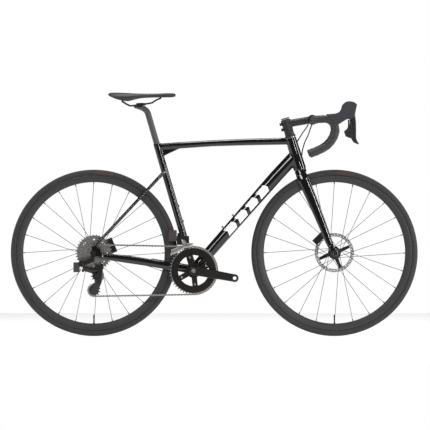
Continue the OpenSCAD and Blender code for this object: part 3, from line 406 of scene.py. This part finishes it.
def tape_material():
    """Bar tape: a fine dimpled polyurethane grain."""
    n = Nodes("bar_tape_grain")
    cells = n.node("ShaderNodeTexVoronoi", Scale=520.0)
    n.link(n.place, cells.inputs["Vector"])
    n.colour(n.mix(n.noise(160.0), (0.012, 0.012, 0.0135), (0.026, 0.026, 0.029)))
    n.rough(n.span(cells.outputs["Distance"], 0.5, 0.72))
    n.bump(cells.outputs["Distance"], 0.5, 0.0005)
    n.set(Sheen_Weight=0.08)
    return n.material


def hood_material():
    """Moulded rubber with fine ribs across its grip."""
    n = Nodes("hood_rubber")
    wave = n.node("ShaderNodeTexWave", Scale=160.0, Distortion=1.2)
    wave.bands_direction = "DIAGONAL"
    n.link(n.place, wave.inputs["Vector"])
    n.colour(n.mix(n.noise(300.0), (0.012, 0.013, 0.018), (0.02, 0.021, 0.028)))
    n.rough(n.span(n.noise(60.0), 0.5, 0.68))
    n.bump(wave.outputs["Fac"], 0.25, 0.0003)
    return n.material


def leather_material():
    """The saddle cover: a fine pebbled synthetic leather."""
    n = Nodes("saddle_leather")
    cells = n.node("ShaderNodeTexVoronoi", Scale=700.0)
    n.link(n.place, cells.inputs["Vector"])
    n.colour(n.mix(n.noise(90.0), (0.008, 0.008, 0.009), (0.02, 0.02, 0.022)))
    n.rough(n.span(cells.outputs["Distance"], 0.42, 0.62))
    n.bump(cells.outputs["Distance"], 0.35, 0.0003)
    return n.material


# The patch on a tyre's wall: its angles from the top in radians, its depths below the tread in metres.
PATCH_FROM, PATCH_TO = 0.01, 0.24
PATCH_DEEP, PATCH_SHALLOW = 0.017, 0.009


def tyre_material(name, axle):
    """Dark rubber with scuffed grain, fine cross ribs and one plain red-brown patch."""
    n = Nodes(name)
    forward, up, radius = turning_place(n, axle)
    angle = n.math("ARCTAN2", forward, up)
    patch_turn = n.between(angle, PATCH_FROM, PATCH_TO)
    patch_wall = n.between(radius, TYRE_R - PATCH_DEEP, TYRE_R - PATCH_SHALLOW)
    patch = n.math("MULTIPLY", n.math("MULTIPLY", patch_turn, patch_wall), 0.65)
    ribs = n.math("SINE", n.math("MULTIPLY", angle, 900.0))
    rubber = n.mix(n.noise(220.0, 4.0), (0.013, 0.013, 0.0135), (0.028, 0.028, 0.029))
    n.colour(n.mix(patch, rubber, (0.10, 0.02, 0.02)))
    n.rough(n.span(n.noise(90.0), 0.62, 0.85))
    n.bump(n.math("ADD", n.math("MULTIPLY", ribs, 0.15), n.noise(700.0)), 0.25, 0.0002)
    return n.material


def make_materials():
    m = {}
    m["frame_paint"] = frame_paint()
    m["post_carbon"] = speckled("post_carbon", (0.036, 0.036, 0.038), (0.075, 0.075, 0.078), (0.42, 0.55),
                                500.0, 900.0, 0.00015)
    m["stem_alloy"] = speckled("stem_alloy", (0.012, 0.012, 0.013), (0.024, 0.024, 0.026), (0.38, 0.5),
                               700.0, 1600.0, 0.0001, metallic=0.3)
    m["group_dark"] = speckled("group_dark", (0.008, 0.007, 0.006), (0.02, 0.016, 0.014), (0.2, 0.34),
                               240.0, 1200.0, 0.0001, metallic=0.35, coat=0.2)
    m["battery_case"] = speckled("battery_case", (0.022, 0.018, 0.017), (0.04, 0.034, 0.031), (0.4, 0.55),
                                 400.0, 1400.0, 0.00015)
    m["black_metal"] = speckled("black_metal", (0.012, 0.012, 0.012), (0.03, 0.03, 0.03), (0.25, 0.4),
                                400.0, 1500.0, 0.0001, metallic=0.7)
    m["caliper_black"] = speckled("caliper_black", (0.01, 0.01, 0.01), (0.026, 0.026, 0.026), (0.3, 0.45),
                                  500.0, 1500.0, 0.0001, metallic=0.5)
    m["hose_black"] = speckled("hose_black", (0.01, 0.01, 0.01), (0.02, 0.02, 0.021), (0.35, 0.5),
                               300.0, 900.0, 0.0001)
    m["plastic_black"] = speckled("plastic_black", (0.01, 0.01, 0.01), (0.022, 0.022, 0.023), (0.3, 0.42),
                                  300.0, 1100.0, 0.0001)
    m["lever_black"] = speckled("lever_black", (0.014, 0.014, 0.016), (0.03, 0.03, 0.034), (0.26, 0.4),
                                300.0, 1200.0, 0.0001, metallic=0.4)
    m["rim_carbon"] = speckled("rim_carbon", (0.012, 0.012, 0.013), (0.024, 0.024, 0.026), (0.42, 0.56),
                               420.0, 1400.0, 0.0001)
    m["chain_steel"] = brushed("chain_steel", (0.22, 0.2, 0.18), (0.5, 0.46, 0.42), (0.25, 0.42),
                               (900, 300, 900))
    m["cog_steel"] = brushed("cog_steel", (0.2, 0.195, 0.19), (0.5, 0.49, 0.48), (0.22, 0.4),
                             (700, 2500, 700))
    m["bright_steel"] = brushed("bright_steel", (0.3, 0.3, 0.3), (0.55, 0.55, 0.55), (0.2, 0.35),
                                (1200, 400, 1200))
    m["spoke_black"] = brushed("spoke_black", (0.015, 0.015, 0.016), (0.04, 0.04, 0.041), (0.25, 0.4),
                               (500, 500, 500), metallic=0.4)
    m["bar_tape"] = tape_material()
    m["hood"] = hood_material()
    m["leather"] = leather_material()
    m["front_tyre"] = tyre_material("front_tyre_rubber", FRONT_AXLE)
    m["rear_tyre"] = tyre_material("rear_tyre_rubber", REAR_AXLE)
    return m


MATERIALS = make_materials()


def ring_material(name, axle, split, inner, outer, inner_metal, outer_metal, rough):
    """Two finishes on a turning part: inner inside the radius split, outer outside it."""
    n = Nodes(name)
    _, _, radius = turning_place(n, axle)
    mask = n.math("GREATER_THAN", radius, split)
    turned = n.math("SINE", n.math("MULTIPLY", radius, 9000.0))
    tone = n.math("ADD", n.math("MULTIPLY", turned, 0.15), n.noise(500.0, 4.0))
    n.colour(n.mix(mask, n.mix(tone, *inner), n.mix(tone, *outer)))
    n.rough(n.span(n.noise(200.0), rough[0], rough[1]))
    n.link(n.span(mask, inner_metal, outer_metal), n.shader.inputs["Metallic"])
    n.bump(turned, 0.08, 0.0001)
    return n.material


# --- Frame and fork --------------------------------------------------------

FRAME_NODES = ["head_tube", "top_tube", "down_tube", "seat_tube", "bb_shell", "chain_stays", "seat_stays"]


def make_frame():
    skin = flowing_skin("frame_skin", FRAME_NODES, 0.0019, 9)
    dress(skin, MATERIALS["frame_paint"], "frame", "frame_paint", *FRAME_NODES)


def make_fork():
    skin = flowing_skin("fork_skin", ["fork"], 0.0016, 8)
    dress(skin, MATERIALS["frame_paint"], "fork", "fork_paint", "fork")


# --- Wheels ----------------------------------------------------------------

TYRE_HALF = 14.0
CROWN_HEIGHT = 0.25
CROWN_SPREAD = 0.35
RIM_INNER = 288.0
ROTOR_BAND = 0.0145


def tyre_profile():
    """A worn-in road tyre: round tread with a shallow centre band, sidewall, bead inside the rim."""
    middle = TYRE_R / MM - TYRE_HALF
    outer = []
    for k in range(41):
        angle = math.radians(-128 + 256 * k / 40)
        crown = CROWN_HEIGHT * math.exp(-(angle / CROWN_SPREAD) ** 2)
        r = TYRE_HALF - CROWN_HEIGHT + crown
        outer.append((middle + r * math.cos(angle), r * math.sin(angle)))
    inner = [(311.2, 9.3), (311.2, 7.4), (317, 8.6), (325, 11.4), (334, 7), (336.4, 0),
             (334, -7), (325, -11.4), (317, -8.6), (311.2, -7.4), (311.2, -9.3)]
    return [(r * MM, y * MM) for r, y in outer + inner]


def rim_profile():
    """A rim 28 mm deep with softly curved flanks and hooked edges."""
    half = []
    for k in range(15):
        t = k / 14
        half.append((RIM_INNER + 28 * t ** 1.6, 4.4 + 8.0 * math.sin(t * math.pi / 2) ** 0.8))
    outside = half + [(316, 12.0), (316.2, 10.4), (315.8, 9.65), (310.9, 9.65), (308.6, 5.2)]
    mirrored = [(r, -y) for r, y in reversed(outside)]
    return [(r * MM, y * MM) for r, y in outside + mirrored + [(287.7, -2.6), (287.6, 0), (287.7, 2.6)]]


def make_wheel(side, axle):
    body = f"{side}_wheel"
    tyre = revolve(f"{side}_tyre_skin", tyre_profile(), axle, 240)
    dress(tyre, MATERIALS[f"{side}_tyre"], body, "tyre_rubber", f"{side}_tyre")
    rim = revolve(f"{side}_rim_skin", rim_profile(), axle, 240)
    dress(rim, MATERIALS["rim_carbon"], body, "rim_carbon", f"{side}_rim")
    valve = make_valve(f"{side}_valve", axle)
    dress(valve, MATERIALS["black_metal"], body, "hub_black")
    hub = bevelled(f"{side}_hub_skin", [f"{side}_hub"], 0.0006)
    dress(hub, MATERIALS["black_metal"], body, "hub_black", f"{side}_hub")
    repaint(f"{side}_spokes", "spoke_black")
    low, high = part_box(f"{side}_rotor")
    band_inner_r = (high.x - low.x) / 2 - ROTOR_BAND
    repaint(f"{side}_rotor", ring_material(
        f"{side}_rotor_steel", axle, band_inner_r, ((0.012, 0.012, 0.012), (0.03, 0.03, 0.03)),
        ((0.5, 0.5, 0.5), (0.75, 0.75, 0.76)), 0.5, 1.0, (0.2, 0.34)))
    make_lockring(side, axle)


def turned(name, stations, centre, axis, sides=48):
    """A turned part: stations of (distance along axis, radius) in mm."""
    axis = Vector(axis).normalized()
    u = axis.orthogonal().normalized()
    v = axis.cross(u)
    rings = []
    for distance, r in stations:
        rings.append([centre + axis * (distance * MM) + (u * math.cos(a) + v * math.sin(a)) * (r * MM)
                      for a in [2 * math.pi * k / sides for k in range(sides)]])
    obj = loft(name, rings)
    shade_by_angle(obj)
    return obj


def make_valve(name, axle):
    inward = Vector((0, 0, 1))
    base = axle - Vector((0, 0, RIM_INNER * MM))
    stations = [(-0.5, 3.0), (2.2, 4.0), (4.4, 4.0), (4.6, 3.0), (24, 3.0), (24.3, 3.3), (33, 3.0),
                (35, 2.2), (36, 0.8)]
    return turned(name, stations, base, inward, 20)


def make_lockring(side, axle):
    """The plain lockring that holds the rotor on the hub."""
    centre = Vector((axle.x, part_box(f"{side}_rotor")[1].y, axle.z))
    stations = [(0.0, 21.5), (1.2, 22.5), (2.6, 22.5), (3.4, 21.0), (3.4, 17.2), (0.2, 16.9)]
    ring = turned(f"{side}_lockring", stations, centre, (0, 1, 0), 64)
    dress(ring, MATERIALS["black_metal"], f"{side}_wheel", "hub_black")


# --- Cockpit ---------------------------------------------------------------

BAR_ROUTE = [
    (400, 60, 881), (400, 140, 881), (403, 180, 881.5), (418, 204.8, 882.5), (455, 209, 883.5),
    (482, 210, 870), (491.5, 211, 848), (490, 212, 826), (479, 214, 801), (456, 216, 775),
    (419, 218, 754.5), (388, 219, 743),
]
BAR_STEPS = 40
TAPE_START = 2
TAPE_LEAD = 12
COLLAR_STEPS = 22
BAR_R = 12.0
COLLAR_R = 15.1
TAPE_R = 15.0
WRAP_PITCH = 0.024


def tape_radius(distance, angle):
    """Each turn of tape overlaps the last: the radius ramps up and drops at every edge."""
    turn = (distance / WRAP_PITCH + angle / (2 * math.pi)) % 1.0
    ramp = min(turn / 0.85, 1.0) if turn < 0.93 else (1.0 - turn) / 0.07
    return (TAPE_R - 0.75 + 0.85 * ramp) * MM


def make_bar():
    for side, sign in (("right", -1), ("left", 1)):
        route = [mm(x, y * sign, z) for x, y, z in BAR_ROUTE]
        fine = smooth_route(route, BAR_STEPS)
        covered = fine[TAPE_START * BAR_STEPS - TAPE_LEAD:]
        tape = sweep(f"bar_tape_{side}", covered, tape_radius, 40)
        dress(tape, MATERIALS["bar_tape"], "fork", "tape_black")
        collar = sweep(f"finishing_tape_{side}", covered[:COLLAR_STEPS], COLLAR_R * MM, 40)
        dress(collar, MATERIALS["plastic_black"], "fork", "saddle_plastic")
        bare = sweep(f"bare_bar_{side}", fine[:TAPE_START * BAR_STEPS], BAR_R * MM, 40)
        dress(bare, MATERIALS["stem_alloy"], "fork", "stem_alloy")
        end = (covered[-1] - covered[-3]).normalized()
        profile = [(-2, 12.5), (0, 15.0), (1.6, 15.0), (3.0, 13.4), (3.4, 9.5), (2.6, 8.6)]
        plug = turned(f"bar_plug_{side}", profile, covered[-1], end)
        dress(plug, MATERIALS["plastic_black"], "fork", "saddle_plastic")
    left_half = [(42, 15.9), (45, 15.4), (55, 12.4), (60.5, 12)]
    right_half = [(-y, r) for y, r in reversed(left_half)]
    centre = turned("bar_centre", right_half + left_half, mm(400, 0, 881), (0, 1, 0), 64)
    dress(centre, MATERIALS["stem_alloy"], "fork", "stem_alloy", "handlebar")
    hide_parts("bar_tape")
    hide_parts("bar_plugs")


def make_stem():
    stem = flowing_skin("stem_skin", ["stem"], 0.0009, 7)
    dress(stem, MATERIALS["stem_alloy"], "fork", "stem_alloy", "stem")
    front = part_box("stem")[1].x
    for z in (0.868, 0.894):
        for y in (-0.0135, 0.0135):
            bolt = turned(f"faceplate_bolt_{'low' if z < 0.88 else 'high'}_{'r' if y < 0 else 'l'}",
                          [(0, 3.6), (2.4, 3.6), (3.0, 3.1), (3.0, 1.7), (1.2, 1.6)],
                          Vector((front - 0.0045, y, z)), (1, 0, 0.05), 24)
            dress(bolt, MATERIALS["black_metal"], "fork", "black_steel")
    for name, slot in (("headset_spacers", "clamp_alloy"), ("stem_bolts", "black_steel")):
        piece = bevelled(f"{name}_skin", [name], 0.0005)
        dress(piece, MATERIALS["stem_alloy"], "fork", slot, name)


def make_hoods():
    hoods = flowing_skin("hoods_skin", ["lever_hoods"], 0.0012, 26)
    dress(hoods, MATERIALS["hood"], "fork", "hood_rubber", "lever_hoods")
    for side in ("right", "left"):
        for part, voxel, rounds in (("brake_lever", 0.0007, 14), ("shift_paddle", 0.0006, 12)):
            name = f"{part}_{side}"
            skin = flowing_skin(f"{name}_skin", [name], voxel, rounds)
            dress(skin, MATERIALS["lever_black"], name, "lever_black", name)


# --- Seatpost and saddle ---------------------------------------------------

def make_seatpost():
    post = flowing_skin("seatpost_skin", ["seatpost"], 0.001, 6)
    dress(post, MATERIALS["post_carbon"], "seatpost", "post_carbon", "seatpost")
    clamp = bevelled("rail_clamp_skin", ["rail_clamp"], 0.0008)
    dress(clamp, MATERIALS["black_metal"], "rail_clamp", "clamp_alloy", "rail_clamp")
    repaint("saddle_rails", "black_metal")


# Saddle stations from tail to nose: x, half width, rim height, crown height, in mm.
SADDLE = [
    (-430.8, 36, 981, 987.5), (-428, 48, 978.5, 988.8), (-420, 60, 974.5, 991), (-400, 69, 966, 991.8),
    (-375, 69.8, 959.5, 991.3), (-350, 65.6, 957, 990.3), (-325, 55.6, 963, 988.8),
    (-295, 41.6, 969, 988.2), (-250, 26.8, 971.5, 988.3), (-210, 20.3, 972, 989.3),
    (-178, 17.2, 972.5, 989.6), (-163, 12.6, 974.5, 988), (-158, 7, 977, 985.5), (-157.2, 4, 978.5, 983.5),
]


def saddle_ring(station, count=72):
    """One cross-section: rounded flanks, a shallow relief channel along the middle of the top."""
    x, half, rim, crown = station
    ring = []
    for k in range(count):
        angle = 2 * math.pi * k / count
        c, s = math.cos(angle), math.sin(angle)
        y = half * math.copysign(abs(c) ** 0.62, c)
        if s >= 0:
            z = rim + (crown - rim) * s ** 0.72
            reach = max(0.0, 1 - ((x + 300) / 105) ** 2)
            z -= 3.0 * reach * math.exp(-(y / 9.0) ** 2)
        else:
            z = rim + 3.4 + 3.6 * s
        ring.append(mm(x, y, z))
    return ring


def interpolate_stations(stations, steps):
    route = smooth_route([Vector(s[:3]) for s in stations], steps)
    crowns = smooth_route([Vector((s[3], 0, 0)) for s in stations], steps)
    return [(p.x, p.y, p.z, c.x) for p, c in zip(route, crowns)]


def make_saddle():
    fine = interpolate_stations(SADDLE, 8)
    pad = loft("saddle_cover", [saddle_ring(s) for s in fine])
    dress(pad, MATERIALS["leather"], "saddle", "saddle_cover", "saddle_pad")
    shell = flowing_skin("saddle_base", ["saddle_shell"], 0.0013, 6)
    dress(shell, MATERIALS["plastic_black"], "saddle", "saddle_plastic", "saddle_shell")
    make_saddle_seam(fine)


def make_saddle_seam(stations):
    """The stitched edge where the cover turns under the shell, on both flanks."""
    for side, sign in (("right", -1), ("left", 1)):
        line = [mm(x, sign * (half * 0.995), rim + 2.2) for x, half, rim, _ in stations[6:-4]]
        seam = sweep(f"saddle_edge_{side}", line, lambda d, a: (0.75 + 0.22 * math.sin(d * 2200)) * MM, 10)
        dress(seam, MATERIALS["leather"], "saddle", "saddle_cover")


# --- Drivetrain ------------------------------------------------------------

RING_WEB_R = 0.0905
RING_BOLT_R = 0.055
SPIDER_ANGLES = (20, 105, 209, 276)
CAP_DEPTH = 0.003


def make_drivetrain():
    for name in ("crank_right", "crank_left"):
        arm = flowing_skin(f"{name}_skin", [name], 0.0009, 9)
        dress(arm, MATERIALS["group_dark"], "crank", "group_dark", name)
    repaint("chainrings", ring_material(
        "ring_finish", CRANK_AXIS, RING_WEB_R, ((0.008, 0.007, 0.006), (0.02, 0.016, 0.014)),
        ((0.2, 0.19, 0.18), (0.42, 0.4, 0.38)), 0.5, 1.0, (0.22, 0.34)))
    repaint("cassette", "cog_steel")
    repaint("chain", "chain_steel")
    repaint("crank_spindle", "bright_steel")
    make_crank_details()


def make_crank_details():
    """A spindle cap on each side and a ring bolt on each spider arm."""
    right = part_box("crank_right")[0].y
    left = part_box("crank_left")[1].y
    for side, y, out in (("right", right, -1), ("left", left, 1)):
        centre = Vector((CRANK_AXIS.x, y - out * CAP_DEPTH, CRANK_AXIS.z))
        cap = turned(f"spindle_cap_{side}", [(0, 8.8), (1.8, 8.8), (2.4, 8.2), (2.4, 4.4), (0.4, 4.0)],
                     centre, (0, out, 0))
        dress(cap, MATERIALS["bright_steel"], "crank", "group_dark")
    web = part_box("chainrings")[0].y
    for degrees in SPIDER_ANGLES:
        angle = math.radians(degrees)
        spot = CRANK_AXIS + Vector((math.cos(angle), 0, math.sin(angle))) * RING_BOLT_R
        bolt = turned(f"ring_bolt_{degrees}", [(0, 4.6), (1.0, 4.6), (1.5, 4.1), (1.5, 2.2), (0.3, 2.0)],
                      Vector((spot.x, web, spot.z)), (0, -1, 0), 24)
        dress(bolt, MATERIALS["bright_steel"], "crank", "group_dark")


def make_derailleurs():
    for name, body in (("rd_knuckle", "frame"), ("rd_body", "rd_body"), ("front_derailleur", "frame")):
        skin = flowing_skin(f"{name}_skin", [name], 0.0007, 10)
        dress(skin, MATERIALS["group_dark"], body, "group_dark", name)
    for name in ("rd_battery", "fd_battery"):
        case = flowing_skin(f"{name}_skin", [name], 0.0008, 14)
        dress(case, MATERIALS["battery_case"], "frame", "battery_case", name)
    links = bevelled("rd_links_skin", ["rd_links"], 0.0003)
    dress(links, MATERIALS["group_dark"], "rd_links", "group_dark", "rd_links")
    cage = bevelled("rd_cage_skin", ["rd_cage"], 0.0004)
    dress(cage, MATERIALS["group_dark"], "rd_cage", "cage_dark", "rd_cage")
    front_cage = bevelled("fd_cage_skin", ["fd_cage"], 0.0003)
    dress(front_cage, MATERIALS["cog_steel"], "fd_cage", "fd_steel", "fd_cage")
    for name in ("guide_pulley", "tension_pulley"):
        repaint(name, "plastic_black")


# --- Brakes, hoses and small parts -----------------------------------------

HOSE_R = 2.5
REAR_HOSE = [(384, 14, 863), (373, 16, 845), (360, 16, 827), (348, 12, 808), (338, 8, 792), (333, 5, 785)]
FRONT_HOSE = [
    (399, 30, 863), (390, 34, 839), (385, 36, 823), (378, 37, 807), (370, 37, 791), (364, 36, 772),
    (359, 35, 752), (357, 34, 732), (356, 33, 710), (356, 32, 692),
]


def make_hoses():
    front = sweep("front_hose", smooth_route([mm(*p) for p in FRONT_HOSE], 10), HOSE_R * MM, 20)
    dress(front, MATERIALS["hose_black"], "fork", "hose_black", "front_brake_hose")
    route = smooth_route([mm(*p) for p in REAR_HOSE], 12)
    rear = sweep("rear_hose", route, HOSE_R * MM, 20)
    rear.data.materials.append(MATERIALS["hose_black"])
    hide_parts("rear_brake_hose")
    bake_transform(rear)


def make_brakes():
    for name, body in (("front_caliper", "fork"), ("rear_caliper", "frame")):
        skin = flowing_skin(f"{name}_skin", [name], 0.0008, 9)
        dress(skin, MATERIALS["caliper_black"], body, "caliper_black", name)


def dress_small_parts():
    repaint("headset_bearings", "bright_steel")
    for name in ("derailleur_hanger", "bb_bearings", "bottle_bolts", "rear_thru_axle", "front_thru_axle"):
        repaint(name, "black_metal")


# --- Camera, light and floor -----------------------------------------------

PHOTO_WIDTH = 1.7514
VIEW_CENTRE = Vector((0.0033, 0.0, 0.4932))
LENS = 600.0
ELEVATION = math.radians(1.0)
FLOOR_REACH = 3.0
FLOOR_GLOW = 0.6
BACKDROP_LIGHT = 0.07

# Each light: its name, where it stands, what it faces, its width and height in metres, its watts.
LIGHTS = [
    ("top_softbox", (-0.4, 0.2, 3.4), (-0.1, 0, 0.4), (5.0, 0.5), 100),
    ("side_softbox", (3.6, -0.6, 1.5), (0.2, 0, 0.6), (0.5, 3.0), 90),
    ("front_softbox", (-1.8, -4.2, 2.6), (0, 0, 0.5), (2.6, 0.6), 60),
    ("strip_light", (2.5, -4.0, 1.2), (0.2, 0, 0.7), (0.25, 2.6), 80),
    ("rear_softbox", (-3.6, 0.4, 1.6), (-0.2, 0, 0.6), (0.4, 2.6), 50),
]


def make_camera():
    data = bpy.data.cameras.new("camera")
    data.lens = LENS
    data.sensor_width = 36.0
    camera = bpy.data.objects.new("camera", data)
    bpy.context.scene.collection.objects.link(camera)
    distance = PHOTO_WIDTH * LENS / data.sensor_width
    direction = Vector((0, -math.cos(ELEVATION), math.sin(ELEVATION)))
    camera.location = VIEW_CENTRE + direction * distance
    camera.rotation_euler = (-direction).to_track_quat("-Z", "Y").to_euler()
    data.clip_end = 60.0
    bpy.context.scene.camera = camera


def area_light(name, location, target, size, power):
    data = bpy.data.lights.new(name, "AREA")
    data.shape = "RECTANGLE"
    data.size, data.size_y = size
    data.energy = power
    light = bpy.data.objects.new(name, data)
    light.location = location
    light.rotation_euler = (Vector(target) - Vector(location)).to_track_quat("-Z", "Y").to_euler()
    bpy.context.scene.collection.objects.link(light)


def make_world():
    """White to the camera, and dimmer as a source of light, so that black lacquer stays black."""
    world = bpy.data.worlds.new("studio")
    bpy.context.scene.world = world
    world.use_nodes = True
    tree = world.node_tree
    backdrop = tree.nodes["Background"]
    backdrop.inputs["Color"].default_value = (1, 1, 1, 1)
    ray = tree.nodes.new("ShaderNodeLightPath")
    strength = tree.nodes.new("ShaderNodeMapRange")
    strength.inputs["To Min"].default_value = BACKDROP_LIGHT
    strength.inputs["To Max"].default_value = 1.0
    tree.links.new(ray.outputs["Is Camera Ray"], strength.inputs["Value"])
    tree.links.new(strength.outputs["Result"], backdrop.inputs["Strength"])


def make_stage():
    for light in LIGHTS:
        area_light(*light)
    bpy.context.scene.view_settings.view_transform = "Standard"
    make_world()
    corners = [(x * FLOOR_REACH, y * FLOOR_REACH, 0) for x, y in ((-1, -1), (1, -1), (1, 1), (-1, 1))]
    floor = mesh_object("floor", corners, [(0, 1, 2, 3)], smooth=False)
    pale = speckled("pale_floor", (0.5, 0.5, 0.5), (0.53, 0.53, 0.53), (0.6, 0.7), 3.0, 30.0, 0.0001)
    shader = pale.node_tree.nodes["Principled BSDF"]
    shader.inputs["Emission Color"].default_value = (1, 1, 1, 1)
    shader.inputs["Emission Strength"].default_value = FLOOR_GLOW
    floor.data.materials.append(pale)


make_camera()
make_stage()
make_frame()
make_fork()
make_wheel("front", FRONT_AXLE)
make_wheel("rear", REAR_AXLE)
make_bar()
make_stem()
make_hoods()
make_seatpost()
make_saddle()
make_drivetrain()
make_derailleurs()
make_hoses()
make_brakes()
dress_small_parts()
